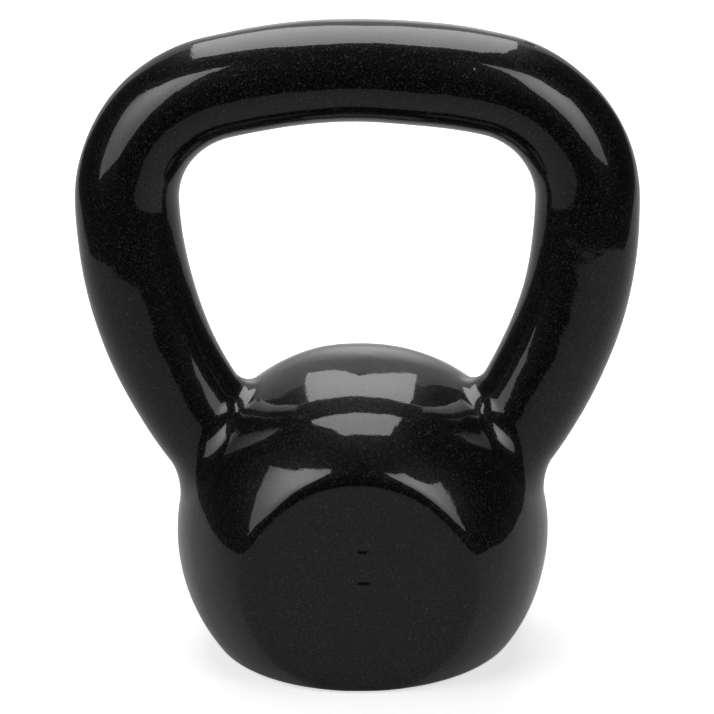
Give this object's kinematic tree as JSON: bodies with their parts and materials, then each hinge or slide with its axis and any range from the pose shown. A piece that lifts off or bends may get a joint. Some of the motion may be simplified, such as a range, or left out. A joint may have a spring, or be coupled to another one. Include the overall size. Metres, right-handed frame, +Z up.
{
  "type": "kettlebell",
  "caption": "Small black enamelled kettlebell: a solid ball with flat round front and rear faces, a flat padded base, and an arched bent-bar handle with legs that lean in to the ball.",
  "frame": {"origin": "centre of the flat underside of the base pad, on the surface the kettlebell stands on", "axes": "+Z up through the middle of the ball and the grip; the flat round faces look along -Y (front) and +Y (rear); the handle legs stand at -X and +X"},
  "size_m": [0.1446, 0.078, 0.1697],
  "materials": {
    "iron": "rough cast, dark grey",
    "bar_steel": "drawn round bar with a thin mill scale",
    "weld_steel": "ground weld bead",
    "enamel": "high-gloss black baked enamel with fine metallic flakes and slight orange peel",
    "pad_rubber": "matte moulded rubber"
  },
  "bodies": {
    "root": {"ball_casting": "iron", "handle_bar": "bar_steel", "weld_bead_left": "weld_steel", "weld_bead_right": "weld_steel", "enamel_coat": "enamel", "base_pad": "pad_rubber"}
  },
  "joints": []
}
